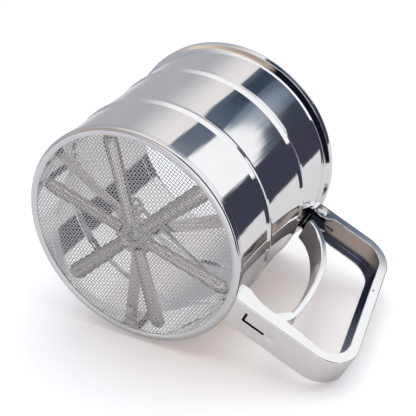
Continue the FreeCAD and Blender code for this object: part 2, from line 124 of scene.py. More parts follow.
def rounded(corners, step=12):
    """Points of a closed outline whose corners are (x, y, radius), with the rounded ones laid as arcs."""
    points = []
    for k, (x, y, radius) in enumerate(corners):
        corner = Vector((x, y))
        before = Vector(corners[k - 1][:2])
        after = Vector(corners[(k + 1) % len(corners)][:2])
        if radius == 0:
            points.append(corner)
            continue
        first = (before - corner).normalized()
        last = (after - corner).normalized()
        half = first.angle(last) / 2
        reach = radius / math.tan(half)
        centre = corner + (first + last).normalized() * (radius / math.sin(half))
        start = corner + first * reach - centre
        sweep = math.pi - 2 * half
        side = 1 if first.x * last.y - first.y * last.x < 0 else -1
        count = max(2, math.ceil(math.degrees(sweep) / step))
        points += [centre + Matrix.Rotation(turn, 2) @ start for turn in angles(side * sweep, count)]
    return points


def walls(size, near, far):
    """The faces between two closed rows of vertices, given by the numbers of their first ones."""
    return [(near + n, near + (n + 1) % size, far + (n + 1) % size, far + n) for n in range(size)]


def spun(name, outline, segments):
    """A closed outline of (radius, height) points turned about Z."""
    vertices = []
    for k in range(segments):
        angle = 2 * math.pi * k / segments
        vertices += [(r * math.cos(angle), r * math.sin(angle), z) for r, z in outline]
    size = len(outline)
    faces = []
    for k in range(segments):
        faces += walls(size, k * size, (k + 1) % segments * size)
    return piece(name, vertices, faces)


def swept(name, sections):
    """Closed sections of equal length joined one to the next and capped."""
    size = len(sections[0])
    vertices = [point for section in sections for point in section]
    faces = []
    for k in range(len(sections) - 1):
        faces += walls(size, k * size, (k + 1) * size)
    faces += [tuple(range(size)), tuple(range(len(vertices) - size, len(vertices)))]
    return piece(name, vertices, faces)


def tube(name, path, radius, sides=16):
    """A round wire along a line of points, without twist."""
    run = (path[1] - path[0]).normalized()
    side = run.orthogonal().normalized()
    sections = []
    for k, point in enumerate(path):
        ahead = path[min(k + 1, len(path) - 1)] - path[max(k - 1, 0)]
        turn = run.rotation_difference(ahead.normalized())
        run = ahead.normalized()
        side = (turn @ side).normalized()
        other = run.cross(side)
        sections.append([point + (side * math.cos(angle) + other * math.sin(angle)) * radius
                         for angle in angles(2 * math.pi, sides)[:-1]])
    return swept(name, sections)


def plate(name, outline, y0, y1):
    """A flat outline of (x, z) points with thickness along Y."""
    return swept(name, [[Vector((x, y, z)) for x, z in outline] for y in (y0, y1)])


def slab(name, outline, z0, z1):
    """A flat outline of (x, y) points with thickness along Z."""
    return swept(name, [[Vector((x, y, z)) for x, y in outline] for z in (z0, z1)])


def circle(radius, sides, x=0, y=0):
    """The points of a round outline about (x, y)."""
    return [Vector((x + radius * math.cos(angle), y + radius * math.sin(angle)))
            for angle in angles(2 * math.pi, sides)[:-1]]


def stadium(a, b, radius):
    """The round-ended outline about the line from a to b."""
    end_steps = 12
    a, b = Vector(a), Vector(b)
    heading = math.atan2((b - a).y, (b - a).x)
    outline = []
    for centre, start in ((b, heading - math.pi / 2), (a, heading + math.pi / 2)):
        outline += [centre + Vector((math.cos(angle), math.sin(angle))) * radius
                    for angle in angles(math.pi, end_steps, start)]
    return outline


def settled(shaped):
    """The object with its modifiers made into its mesh."""
    graph = bpy.context.evaluated_depsgraph_get()
    result = bpy.data.meshes.new_from_object(shaped.evaluated_get(graph))
    shaped.modifiers.clear()
    shaped.data = result
    return shaped


def combined(base, tool, operation):
    """The base after a boolean with the tool, which is used up."""
    modifier = base.modifiers.new("combine", "BOOLEAN")
    modifier.operation = operation
    modifier.solver = "EXACT"
    modifier.object = tool
    settled(base)
    bpy.data.objects.remove(tool)
    tidy(base)
    return base


def smooth_value(points, x):
    """A smooth curve through (x, value) points, level outside them."""
    if x <= points[0][0]:
        return points[0][1]
    for k in range(len(points) - 1):
        (x0, y0), (x1, y1) = points[k], points[k + 1]
        if x <= x1:
            before = points[max(k - 1, 0)]
            after = points[min(k + 2, len(points) - 1)]
            width = x1 - x0
            rise0 = (y1 - before[1]) / (x1 - before[0]) * width
            rise1 = (after[1] - y0) / (after[0] - x0) * width
            t = (x - x0) / width
            return ((2 * t ** 3 - 3 * t ** 2 + 1) * y0 + (t ** 3 - 2 * t ** 2 + t) * rise0
                    + (3 * t ** 2 - 2 * t ** 3) * y1 + (t ** 3 - t ** 2) * rise1)
    return points[-1][1]


# ---- cup, ring and screen -----------------------------------------------------------------------------
def cup():
    """The beaded wall, its turned-in foot, the crease and the hemmed rim, with the rod's window."""
    bead_rise, hem_rise, window_bend = 0.75 * MM, 2.3 * MM, 0.9 * MM

    def side(radius, inset):
        """The wall's line from its foot up to the neck: corners of (radius, height, bend)."""
        line = []
        for height in bead_heights:
            line += [(radius, height - 1.8 * MM, 0.3 * MM),
                     (radius + bead_rise, height + 0.4 * MM, 1.1 * MM - inset),
                     (radius + 0.05 * MM, height + 2.6 * MM, 0.4 * MM),
                     (radius, height + 3.6 * MM, 0.5 * MM)]
        return line + [(radius, neck_start, 0.25 * MM)]

    half = (cup_high.x - neck + sheet) / 2
    foot, foot_edge = cup_low.z, wall - 2.5 * MM
    outside = [(foot_edge, foot, 0.15 * MM), (wall, foot, 1.0 * MM)] + side(wall, 0)
    outside += [(wall + 0.25 * MM, neck_start + 0.7 * MM, 0.8 * MM),
                (wall + 0.8 * MM, neck_start + 1.4 * MM, 1.5 * MM),
                (cup_high.x, neck_start + 2.8 * MM, 0.4 * MM)]
    inside = [(wall - sheet, foot + sheet, 0.4 * MM)] + side(wall - sheet, sheet)
    inside += [(neck - sheet, neck_start + 1.0 * MM, 0.4 * MM)]
    rim = [(cup_high.x - half + half * math.cos(angle), cup_high.z - hem_rise + hem_rise * math.sin(angle), 0)
           for angle in angles(math.pi, 24)]
    corners = outside + rim + list(reversed(inside)) + [(foot_edge, foot + sheet, 0.15 * MM)]
    body = spun("sifter_cup", rounded(corners), 360)
    low, high = window()
    outline = rounded([(y, z, window_bend) for y, z in ((low.y, low.z), (high.y, low.z),
                                                        (high.y, high.z), (low.y, high.z))])
    cutter = swept("window", [[Vector((x, y, z)) for y, z in outline]
                              for x in (wall - 3 * MM, wall + 2 * MM)])
    return combined(body, cutter, "DIFFERENCE")


def window():
    """The corners of the hole in the wall that the rod slides in, from its rest to its full pull."""
    swing = Matrix.Rotation(-full_pull, 3, "Y")
    play = 0.5 * MM
    half = rod_radius + play
    crossings = []
    for end in (tail, pivot + swing @ (tail - pivot)):
        hook = Vector((crank.x + end.x - tail.x, crank.y, rod_line))
        crossings.append(hook + (end - hook) * ((wall - hook.x) / (end.x - hook.x)))
    rest, pulled = crossings
    return Vector((wall, pulled.y - half, rest.z - half)), Vector((wall, rest.y + half, pulled.z + half))


def ring():
    """The rolled base ring, which holds the edge of the screen."""
    inside = wall + seat_gap
    lip = ring_high.x - 3.6 * MM
    floor = 0.75 * MM
    corners = [(ring_high.x, ring_high.z, 0.15 * MM), (ring_high.x, 0, 1.7 * MM),
               (lip + 1.3 * MM, 0, 1.5 * MM), (lip, 0.5 * MM, 0.2 * MM), (lip, floor, 0.1 * MM),
               (inside, floor, 0.8 * MM), (inside, ring_high.z, 0.1 * MM)]
    return spun("sifter_base_ring", rounded(corners, 8), 360)


def screen():
    """Plain weave: every wire goes over and under the ones that cross it."""
    radius = (screen_high.z - screen_low.z) / 4
    middle = (screen_low.z + screen_high.z) / 2
    reach = screen_high.x - 0.2 * MM
    # Each set's heading, the pitch of its wires and the pitch of the wires that cross them.
    sets = ((math.radians(97), 1.26 * MM, 1.38 * MM), (math.radians(5.5), 1.38 * MM, 1.26 * MM))
    sides = 5
    vertices, faces = [], []
    for layer, (heading, pitch, crossing) in enumerate(sets):
        along = Vector((math.cos(heading), math.sin(heading), 0))
        over = Vector((-along.y, along.x, 0))
        count = int(reach / pitch)
        for k in range(-count, count + 1):
            half = math.sqrt(reach ** 2 - (k * pitch) ** 2)
            steps = int(2 * half / crossing) * 2
            first = len(vertices)
            for n in range(-steps // 2, steps // 2 + 1):
                lift = radius * math.cos(math.pi * (n / 2 + k + layer))
                centre = along * (n * crossing / 2) + over * (k * pitch) + Vector((0, 0, middle + lift))
                for m in range(sides):
                    angle = 2 * math.pi * m / sides
                    vertices.append(centre + over * (radius * math.cos(angle))
                                    + Vector((0, 0, radius * math.sin(angle))))
            for near in range(first, len(vertices) - sides, sides):
                faces += walls(sides, near, near + sides)
            faces += [tuple(range(first, first + sides)), tuple(range(len(vertices) - sides, len(vertices)))]
    return piece("sifter_screen", vertices, faces)


# ---- agitator -----------------------------------------------------------------------------------------
def blade():
    """One pressed arm along X: a widening trough with a round end, its back towards the screen."""
    drop = hub_top - wheel_low.z
    root_half, tip_half = 3.0 * MM, 3.8 * MM
    root, tip = 6.5 * MM, wall - sheet - 3.2 * MM - tip_half
    across, along, round_steps = 14, 10, 12

    def depth(share, half_width):
        """How deep the trough lies below the hub's top, at a share of its half width."""
        bend = (half_width ** 2 + drop ** 2) / (2 * drop)
        return math.sqrt(bend ** 2 - (share * half_width) ** 2) - (bend - drop)

    def cells(first, rows, size):
        """The faces between rows of vertices that follow each other."""
        return [(first + k * size + n, first + k * size + n + 1,
                 first + (k + 1) * size + n + 1, first + (k + 1) * size + n)
                for k in range(rows) for n in range(size - 1)]

    vertices = []
    for k in range(along + 1):
        x = root + (tip - root) * k / along
        half_width = root_half + (tip_half - root_half) * k / along
        vertices += [Vector((x, half_width * v, hub_top - depth(abs(v), half_width)))
                     for v in [2 * n / across - 1 for n in range(across + 1)]]
    faces = cells(0, along, across + 1)
    first = len(vertices)
    half_size = across // 2 + 1
    for angle in angles(math.pi, round_steps, -math.pi / 2):
        for n in range(half_size):
            share = n / (half_size - 1)
            vertices.append(Vector((tip + tip_half * share * math.cos(angle),
                                    tip_half * share * math.sin(angle), hub_top - depth(share, tip_half))))
    faces += cells(first, round_steps, half_size)
    trough = piece("blade", vertices, faces)
    solid = trough.modifiers.new("sheet", "SOLIDIFY")
    solid.thickness = wheel_sheet
    solid.offset = -1
    tidy(settled(trough))
    return trough


def wheel():
    """Six troughs on a flat hub, with a lug for the rod's hook."""
    arms, heading = 6, -7.5
    lug_half, slot_half = 3.3 * MM, 1.3 * MM
    hub_floor = hub_top - wheel_sheet
    cut_floor, cut_top = wheel_low.z, hub_top + 1 * MM
    out = crank.xy.normalized()
    near, far = out * 13.2 * MM, out * 15.55 * MM
    rim = circle(1, 96)
    hub = slab("sifter_agitator", [p * 9.2 * MM for p in rim], hub_floor, hub_top)
    hub = combined(hub, slab("lug", stadium(near, far, lug_half), hub_floor, hub_top), "UNION")
    first = blade()
    for k in range(arms):
        arm = first
        if k < arms - 1:
            arm = first.copy()
            arm.data = first.data.copy()
            bpy.context.scene.collection.objects.link(arm)
        arm.data.transform(Matrix.Rotation(math.radians(360 / arms * k + heading), 4, "Z"))
        hub = combined(hub, arm, "UNION")
    hub = combined(hub, slab("slot", stadium(near, far, slot_half), cut_floor, cut_top), "DIFFERENCE")
    return combined(hub, slab("bore", [p * 2.4 * MM for p in rim], cut_floor, cut_top), "DIFFERENCE")


def dome(name, radius, height, shank, length):
    """A round-headed rivet standing on Z = 0 with its crown down and its shank up."""
    bend = (radius ** 2 + height ** 2) / (2 * height)
    crown = [(bend * math.sin(angle), bend - height - bend * math.cos(angle))
             for angle in angles(math.asin(radius / bend), 8)]
    crown[0] = (0, -height)
    return spun(name, crown + [(shank, 0), (shank, length), (0, length)], 64)


# ---- pull rod -----------------------------------------------------------------------------------------
def pull_rod():
    """A hook down through the crank slot, a straight run and an eye round the tail pin."""
    eye, eye_wrap, neck_bend, hook_bend = 2.25 * MM, math.radians(290), 1.6 * MM, 1.25 * MM
    hook = Vector((crank.x, crank.y, rod_line))
    down = Vector((0, 0, -1))
    along = (tail - hook).normalized()
    up = along.cross(Vector((0, 0, 1))).normalized().cross(along)
    path = [Vector((hook.x, hook.y, wheel_low.z + 0.4 * MM))]
    corner = down.angle(along)
    centre = hook + (down + along).normalized() * (hook_bend / math.sin(corner / 2))
    start = hook + down * (hook_bend / math.tan(corner / 2)) - centre
    axis = down.cross(along).normalized()
    for angle in angles(-(math.pi - corner), 8):
        path.append(centre + Matrix.Rotation(angle, 3, axis) @ start)
    back = math.sqrt(eye ** 2 + 2 * eye * neck_bend)
    for angle in angles(-math.atan2(back, neck_bend), 8, math.pi / 2):
        path.append(tail - along * (back - neck_bend * math.cos(angle))
                    - up * (neck_bend - neck_bend * math.sin(angle)))
    for angle in angles(eye_wrap, 32, math.pi + math.atan2(neck_bend, back))[1:]:
        path.append(tail + along * (eye * math.cos(angle)) + up * (eye * math.sin(angle)))
    return tube("sifter_pull_rod", path, rod_radius)


# ---- handle -------------------------------------------------------------------------------------------
def channel(name, stations, half_width, bend):
    """A U-shaped strip along stations of (place, inward direction, flange depth)."""
    inner_half, edge_bend, inner_bend = half_width - strap_sheet, 0.2 * MM, bend / 3
    sections = []
    for place, inward, depth in stations:
        outline = rounded([(-half_width, depth, edge_bend), (-half_width, 0, bend),
                           (half_width, 0, bend), (half_width, depth, edge_bend),
                           (inner_half, depth, edge_bend), (inner_half, strap_sheet, inner_bend),
                           (-inner_half, strap_sheet, inner_bend), (-inner_half, depth, edge_bend)])
        sections.append([place + inward * d + Vector((0, y, 0)) for y, d in outline])
    return swept(name, sections)


def loop_stations():
    """The handle's line: out along the bottom, up the grip and back along the top."""
    lead, low_reach, high_reach, rise = 4 * MM, 54.8 * MM, 41.3 * MM, 1.4 * MM
    bend, flange, top_flange = 15 * MM, 4.3 * MM, 4.0 * MM
    corners = [Vector((wall - lead, 0, strap_root - rise / low_reach * lead)),
               Vector((wall + low_reach, 0, strap_root + rise)),
               Vector((wall + high_reach, 0, strap_top)), Vector((wall - lead, 0, strap_top))]
    # The flanges' edges: (from the wall, above the root) below, and (from the pivot, above it) on top, in mm.
    gusset = ((-2.0, 9.5), (2.6, 9.5), (6.2, 7.9), (11.0, 6.7),
              (20.0, 6.9), (30.0, 6.3), (40.0, 5.4), (48.0, 4.9))
    lobe = ((-6.0, -0.4), (-3.2, -2.6), (0.2, -4.0), (3.3, -2.7), (6.0, -0.4), (10.5, 0.2))
    lobe_end = pivot.x + lobe[-1][0] * MM
    runs = [(b - a).normalized() for a, b in zip(corners, corners[1:])]
    sides = [Vector((-run.z, 0, run.x)) for run in runs]
    spacings = (0.6 * MM, 4 * MM, 0.6 * MM)
    bend_steps = 20
    stations = []
    at = corners[0]
    for k, run in enumerate(runs):
        end = corners[k + 1]
        if k < 2:
            half = run.angle(runs[k + 1]) / 2
            end = end - run * (bend * math.tan(half))
        count = math.ceil((end - at).length / spacings[k])
        for n in range(count + 1):
            place = at + (end - at) * (n / count)
            depth = flange
            if k == 0:
                edge = strap_root + smooth_value(gusset, (place.x - wall) / MM) * MM - place.z
                depth = max(depth, edge * sides[0].z)
            if k == 2:
                drop = place.z - pivot.z - smooth_value(lobe, (place.x - pivot.x) / MM) * MM
                depth = max(drop if place.x < lobe_end else depth, top_flange)
            stations.append((place, sides[k], depth))
        if k < 2:
            centre = end + sides[k] * bend
            for angle in angles(-2 * half, bend_steps)[1:-1]:
                side = Matrix.Rotation(angle, 3, "Y") @ sides[k]
                stations.append((centre - side * bend, side, stations[-1][2]))
            at = centre - sides[k + 1] * bend
    return stations


def handle():
    """The channel loop, trimmed to the cup, with its slot, dimple, hang hole and turned-in weld tabs."""
    loop = channel("sifter_handle", loop_stations(), strap_half, 0.6 * MM)
    ring_side, ring_edge = ring_high.x + seat_gap, ring_high.z + seat_gap
    wall_side, neck_side = wall + seat_gap, neck + 0.1 * MM
    under, over = -5 * MM, strap_top + 2 * MM
    clear = [(0, under), (ring_side, under), (ring_side, ring_edge), (wall_side, ring_edge),
             (wall_side, neck_start - seat_gap), (neck_side, neck_start + 0.95 * MM),
             (neck_side, over), (0, over)]
    loop = combined(loop, spun("clear", clear, 256), "DIFFERENCE")

    slot_half, slot_top = 0.6 * MM, strap_root + 0.72 * MM
    corner = Vector((wall + 7.0 * MM, 0.4 * MM))
    for end in (corner + Vector((9.6 * MM, 0)), corner - Vector((0, 3.6 * MM))):
        loop = combined(loop, slab("slot", stadium(corner, end, slot_half), 0, slot_top), "DIFFERENCE")

    ball, dimple_top = 5.9 * MM, strap_root + 0.85 * MM
    dimple = spun("dimple", [(ball * math.sin(a), -ball * math.cos(a)) for a in angles(math.pi, 64)], 96)
    dimple.data.transform(Matrix.Translation((wall + 20.1 * MM, 0.4 * MM, dimple_top - ball)))
    loop = combined(loop, dimple, "DIFFERENCE")

    hole = circle(0.6 * MM, 16, 92.5 * MM, 56.4 * MM)
    loop = combined(loop, plate("hang_hole", hole, -strap_half - 1 * MM, 2 * MM - strap_half), "DIFFERENCE")

    inner = strap_half - strap_sheet
    tab_width, tab_half, tab_sheet, tab_steps = 3.2 * MM, 2.5 * MM, 0.6 * MM, 8
    for y, z in ((-inner - 0.2 * MM, pivot.z), (inner - 3 * MM, pivot.z), (inner - 3 * MM, 6.2 * MM)):
        across = [y + tab_width * n / tab_steps for n in range(tab_steps + 1)]
        outline = [Vector((math.sqrt(wall_side ** 2 - v ** 2), v)) for v in across]
        outline += [Vector((math.sqrt((wall_side + tab_sheet) ** 2 - v ** 2), v)) for v in reversed(across)]
        loop = combined(loop, slab("tab", outline, z - tab_half, z + tab_half), "UNION")
    return loop


# ---- trigger ------------------------------------------------------------------------------------------
def lever_stations():
    """The trigger's line from its top end down to its tail."""
    # Offsets from the wall in mm, and shares of the drop from the pivot to the tail pin.
    line = ((2.2, 0.136), (7.2, 0.172), (12.8, 0.255), (17.8, 0.393),
            (20.4, 0.581), (21.1, 0.766), (20.3, 0.893), (18.2, 0.951))
    flange = 2.8 * MM
    count = 90
    drop = pivot.z - tail.z
    points = [Vector((wall + offset * MM, 0, pivot.z - share * drop)) for offset, share in line]
    travel = [0]
    for a, b in zip(points, points[1:]):
        travel.append(travel[-1] + (b - a).length)
    across = [(t, p.x) for t, p in zip(travel, points)]
    down = [(t, p.z) for t, p in zip(travel, points)]
    places = []
    for k in range(count + 1):
        at = travel[-1] * k / count
        places.append(Vector((smooth_value(across, at), 0, smooth_value(down, at))))
    stations = []
    for k, place in enumerate(places):
        run = (places[min(k + 1, count)] - places[max(k - 1, 0)]).normalized()
        stations.append((place, Vector((-run.z, 0, run.x)), flange))
    return stations


def lever():
    """The trigger: a curved channel with ears at the pivot and at the tail pin."""
    stations = lever_stations()
    body = channel("sifter_trigger", stations, lever_half, 0.9 * MM)
    top, low = stations[0][0], stations[-8][0]
    ear, tip = 3.1 * MM, 2.7 * MM
    half_turn = angles(math.pi, 16)
    ears = [Vector((pivot.x + ear * math.cos(a), pivot.z + ear * math.sin(a))) for a in half_turn]
    ears += [Vector((pivot.x - ear, pivot.z - 4 * MM)), Vector((top.x + 0.3 * MM, top.z + 0.3 * MM)),
             Vector((top.x + 5.5 * MM, top.z - 0.4 * MM)), Vector((pivot.x + 6.0 * MM, pivot.z - 9.5 * MM)),
             Vector((pivot.x + ear, pivot.z - 4.5 * MM))]
    tails = [Vector((tail.x - tip * math.cos(a), tail.z - tip * math.sin(a))) for a in half_turn]
    tails += [Vector((low.x + 2.6 * MM, low.z + 2.0 * MM)), Vector((low.x + 0.4 * MM, low.z + 1.0 * MM))]
    for y0, y1 in ((-lever_half, strap_sheet - lever_half), (lever_half - strap_sheet, lever_half)):
        for outline in (ears, tails):
            body = combined(body, plate("ear", outline, y0, y1), "UNION")
    return body


def spring():
    """The return spring: its coil round the sleeve, a leg under the web and a leg down the trigger."""
    radius, pitch, wire, turns = 2.75 * MM, 1.05 * MM, 0.45 * MM, 3
    long_leg, short_leg = 10.6 * MM, 8.5 * MM
    start = math.radians(204)
    wound = 2 * math.pi * turns + start - math.pi / 2
    length = pitch * wound / (2 * math.pi)
    count = 96
    coil = []
    for k, angle in enumerate(angles(-wound, count, start)):
        coil.append(Vector((pivot.x + radius * math.cos(angle), length * (k / count - 0.5),
                            pivot.z + radius * math.sin(angle))))
    leg = Vector((-math.sin(start), 0, math.cos(start))) * long_leg
    path = [coil[0] + leg] + coil + [coil[-1] + Vector((short_leg, 0, 0))]
    return tube("sifter_spring", path, wire, 12)


# ---- the pieces, what they replace and what they ride on ----------------------------------------------
def rivets():
    """The pivot's rivet, its head at the near flange, and the centre pin, its head below the wheel."""
    crown = 1.1 * MM
    across = dome("sifter_pivot_rivet", 2.9 * MM, crown, 1.5 * MM, 2 * strap_half + crown)
    place = Matrix.Translation((pivot.x, -strap_half, pivot.z))
    across.data.transform(place @ Matrix.Rotation(-math.pi / 2, 4, "X"))
    crown = 1.0 * MM
    upright = dome("sifter_centre_pin", 2.8 * MM, crown, 1.6 * MM, pin_high.z - pin_low.z - crown)
    upright.data.transform(Matrix.Translation((0, 0, pin_low.z + crown)))
    return across, upright


def dress():
    """Makes every piece and says what it rides on, what it replaces and how it is finished."""
    rivet, pin = rivets()
    made = ((cup(), "frame", "cup_body", "polished_steel"),
            (ring(), "frame", "base_ring", "polished_steel"),
            (screen(), "frame", "mesh_screen", "screen_wire"),
            (handle(), "frame", "handle_frame", "polished_steel"),
            (lever(), "trigger", "trigger_lever", "polished_steel"),
            (wheel(), "agitator", "agitator_wheel", "pressed_steel"),
            (pull_rod(), "rod", "pull_rod", "wire_steel"),
            (spring(), "frame", "return_spring", "wire_steel"),
            (rivet, "frame", "trigger_pivot_pin", "turned_steel"),
            (pin, "frame", "centre_pin", "turned_steel"))
    for shaped, body, node, slot in made:
        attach(shaped, body)
        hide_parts(node)
        if node not in ("mesh_screen", "pull_rod", "return_spring"):
            shaped.modifiers.new("normals", "WEIGHTED_NORMAL").keep_sharp = True
            shaped.data.set_sharp_from_angle(angle=math.radians(40))
        finish(shaped, finishes[slot])
        if node == "base_ring":
            finish(shaped, shaded_ring_steel)
        if node == "handle_frame":
            paint_inside_shade(shaped)
        if node == "trigger_lever":
            paint_trigger_shade(shaped)


def finish(shaped, material):
    """Gives the whole object one material."""
    shaped.data.materials.clear()
    shaped.data.materials.append(material)


def paint_inside_shade(shaped):
    """Painted shade inside the handle's channel: rougher finishes in darker tones, darkest beside the cup and
    in the slot.
    """
    outer, web, flange, painted_shade = range(4)
    for material in (shaded_inner_web, shaded_inner_flange, dark_painted_shade):
        shaped.data.materials.append(material)
    middle = Vector((wall + 24 * MM, 0, 45 * MM))
    flange_start = strap_half - 1.2 * MM
    low_shade, high_shade, low_end = wall + 22 * MM, wall + 8 * MM, 14 * MM
    slot_end, slot_half, slot_floor, web_top = wall + 18 * MM, 5 * MM, 2.35 * MM, 3.5 * MM
    for face in shaped.data.polygons:
        out, at = face.normal, face.center
        if abs(at.y) > flange_start:
            index = flange if out.y * at.y < 0 and abs(out.y) > 0.5 else outer
        else:
            index = web if out.dot((middle - at).normalized()) > 0.2 else outer
        # Inner faces beside the cup, and the faces in the slot, take the dark painted shade.
        if index and at.x < (low_shade if at.z < low_end else high_shade):
            index = painted_shade
        near_slot = at.z < web_top and at.x < slot_end and abs(at.y) < slot_half
        if near_slot and (abs(out.z) < 0.5 or at.z > slot_floor):
            index = painted_shade
        face.material_index = index


def paint_trigger_shade(shaped):
    """Painted shade on the trigger: a rougher web that darkens towards the pivot, and dark ears inside the
    handle's channel.
    """
    web, painted_shade = 1, 2
    for material in (shaded_trigger_web, dark_painted_shade):
        shaped.data.materials.append(material)
    for face in shaped.data.polygons:
        out, at = face.normal, face.center
        if abs(at.y) < lever_half - strap_sheet:
            face.material_index = web
        if at.z > pivot.z - 8 * MM and at.x < pivot.x + 7 * MM and abs(out.y) > 0.5:
            face.material_index = painted_shade


# ---- materials ----------------------------------------------------------------------------------------
def wired(tree, kind, **settings):
    """A node with the given settings, values and links; an input goes by its name, or by _ and its number."""
    node = tree.nodes.new(kind)
    for key, value in settings.items():
        socket = node.inputs[int(key[1:])] if key.startswith("_") else node.inputs.get(key)
        if socket is None:
            setattr(node, key, value)
        elif isinstance(value, bpy.types.NodeSocket):
            tree.links.new(value, socket)
        else:
            socket.default_value = value
    return node


def worked(tree, operation, *values):
    """The result of a sum or a comparison of numbers or links."""
    numbered = {f"_{k}": value for k, value in enumerate(values)}
    return wired(tree, "ShaderNodeMath", operation=operation, **numbered).outputs[0]


def measured(tree, operation, *vectors):
    """The number that vectors give, such as the distance between two."""
    numbered = {f"_{k}": value for k, value in enumerate(vectors)}
    return wired(tree, "ShaderNodeVectorMath", operation=operation, **numbered).outputs["Value"]


def mixed(tree, share, first, second):
    """A colour between two, by a share from 0 to 1."""
    return wired(tree, "ShaderNodeMix", data_type="RGBA", _0=share, _6=first, _7=second).outputs[2]


def noise(tree, place, scale, detail):
    """Values about 0.5 that wander from place to place."""
    return wired(tree, "ShaderNodeTexNoise", Vector=place, Scale=scale, Detail=detail).outputs[0]


def mapped(tree, value, low, high, first, last, **settings):
    """The value's way from low to high, turned into one from first to last."""
    node = wired(tree, "ShaderNodeMapRange", _0=value, _1=low, _2=high, _3=first, _4=last, **settings)
    return node.outputs[0]


def step(tree, value, edge, blur, rising=True):
    """A mask that goes smoothly from 0 to 1, or back, as the value crosses an edge."""
    ends = (0.0, 1.0) if rising else (1.0, 0.0)
    return mapped(tree, value, edge - blur, edge + blur, *ends, interpolation_type="SMOOTHSTEP")


def linear(red, green, blue):
    """A colour given as 0 to 255, for a node's socket."""
    tones = [((c / 255 + 0.055) / 1.055) ** 2.4 if c > 10 else c / 255 / 12.92 for c in (red, green, blue)]
    return (*tones, 1)


def steel(name, light, dark, roughness, spread, grain, relief, metallic=1.0, shade_climb=None):
    """Steel with faint clouding in its gloss and its tone, or a painted shade that darkens the tone between
    two heights.
    """
    material = bpy.data.materials.new(name)
    material.use_nodes = True
    tree = material.node_tree
    shader = tree.nodes["Principled BSDF"]
    shader.inputs["Metallic"].default_value = metallic
    place = tree.nodes.new("ShaderNodeTexCoord").outputs["Object"]
    cloud = noise(tree, place, 60, 5)
    share = cloud
    if shade_climb:
        height = wired(tree, "ShaderNodeSeparateXYZ", Vector=place).outputs["Z"]
        share = step(tree, height, sum(shade_climb) / 2, (shade_climb[1] - shade_climb[0]) / 2, rising=False)
    tone = mixed(tree, share, linear(*dark), linear(*light))
    gloss = mapped(tree, cloud, 0.3, 0.7, roughness, roughness + spread)
    bump = wired(tree, "ShaderNodeBump", Strength=0.3, Distance=relief, Height=noise(tree, place, grain, 1))
    tree.links.new(tone, shader.inputs["Base Color"])
    tree.links.new(gloss, shader.inputs["Roughness"])
    tree.links.new(bump.outputs["Normal"], shader.inputs["Normal"])
    return material


# Name, light and dark tone, roughness and its spread, grain and its relief, and how metallic it is.
finishes = {slot: steel(slot, *settings) for slot, *settings in (
    ("polished_steel", (249, 249, 250), (238, 239, 242), 0.04, 0.04, 90, 0.02 * MM),
    ("pressed_steel", (250, 247, 244), (232, 229, 226), 0.08, 0.08, 400, 0.01 * MM),
    ("turned_steel", (225, 226, 228), (208, 210, 213), 0.14, 0.1, 900, 0.01 * MM),
    ("wire_steel", (222, 223, 225), (200, 203, 206), 0.16, 0.1, 700, 0.01 * MM),
    ("screen_wire", (216, 215, 217), (198, 198, 202), 0.2, 0.1, 800, 0.01 * MM, 0.55),
)}
# A darker, rougher copy of the polished steel for the ring: its darker tone is painted shade.
shaded_ring_steel = steel("shaded_ring_steel", (238, 239, 242), (224, 225, 230), 0.08, 0.06, 90, 0.02 * MM)
# The web inside the handle: a warm, darker tone that paints the shaded table it mirrors, with a rougher
# gloss.
shaded_inner_web = steel("shaded_inner_web", (232, 218, 208), (214, 202, 194), 0.16, 0.1, 700, 0.01 * MM)
# Dark blue painted shade for the channel's inside beside the cup, in the slot and on the trigger's ears.
dark_painted_shade = steel("dark_painted_shade", (44, 46, 58), (30, 32, 42), 0.25, 0.1, 700, 0.01 * MM)
# The flanges' inner faces: a painted shade that turns from pale to dark blue between 8 mm and 62 mm up.
shaded_inner_flange = steel("shaded_inner_flange", (206, 214, 236), (62, 72, 104), 0.12, 0.08, 700, 0.01 * MM, 0.6,
                     (8 * MM, 62 * MM))
# The trigger's web: a rougher gloss and a painted shade that darkens between 36 mm and 74 mm up, towards the
# pivot.
shaded_trigger_web = steel("shaded_trigger_web", (244, 242, 240), (150, 145, 149), 0.14, 0.08, 700, 0.01 * MM, 1.0,
                    (36 * MM, 74 * MM))
kept_nodes = {"agitator_bush": "turned_steel", "thrust_washer": "turned_steel", "pin_rivet": "turned_steel",
              "spider_bracket": "pressed_steel", "rod_clip": "pressed_steel", "pivot_collar": "turned_steel",
              "pivot_washers": "turned_steel", "spring_sleeve": "turned_steel", "tail_pin": "turned_steel",
              "tail_spacers": "turned_steel"}
dress()
for node, slot in kept_nodes.items():
    kept = frame["nodes"][node]
    finish(kept, finishes[slot])
    edge = kept.modifiers.new("edge", "BEVEL")
    edge.width = 0.12 * MM
    edge.segments = 2
    edge.limit_method = "ANGLE"


# ---- stage, light and camera --------------------------------------------------------------------------
# Dark and grey cards in a white tent: middle direction round Z and half width, lowest and highest elevation,
# blur of the sides and of the lower and upper edges, all in degrees, and the tone.
cards = ((-150, 50, 36, 66, 8, 8, (237, 232, 229)),
         (-189, 42, -90, 100, 22, 8, (176, 178, 182)),
         (-60, 80, -42, -9, 14, 3, (16, 20, 32)),
         (-150, 46, -42, -9, 10, 3, (232, 212, 192)),
         (-150, 46, -42, -19, 10, 8, (172, 156, 146)),
         (-105, 11.5, 48.8, 60, 1.2, 0.8, (96, 107, 122)),
         (-80, 38, 52.3, 60, 1.2, 0.35, (86, 98, 114)),
         (-104, 9, 53.3, 60, 4, 1.2, (54, 68, 84)),
         (-52, 14, 53.7, 60, 5, 0.8, (60, 66, 80)),
         (-21, 22, 4, 100, 1.0, 3, (62, 63, 76)))
# Round patches over them: the direction and half width, the elevation and half height, the blur as a share of
# the size, and the tone.
patches = ((-78, 13, 54.3, 1.6, 0.7, (146, 155, 168)),
           (-67, 25, 51.0, 2.7, 0.1, (255, 255, 255)))
white = (1.0, 1.0, 1.0, 1.0)


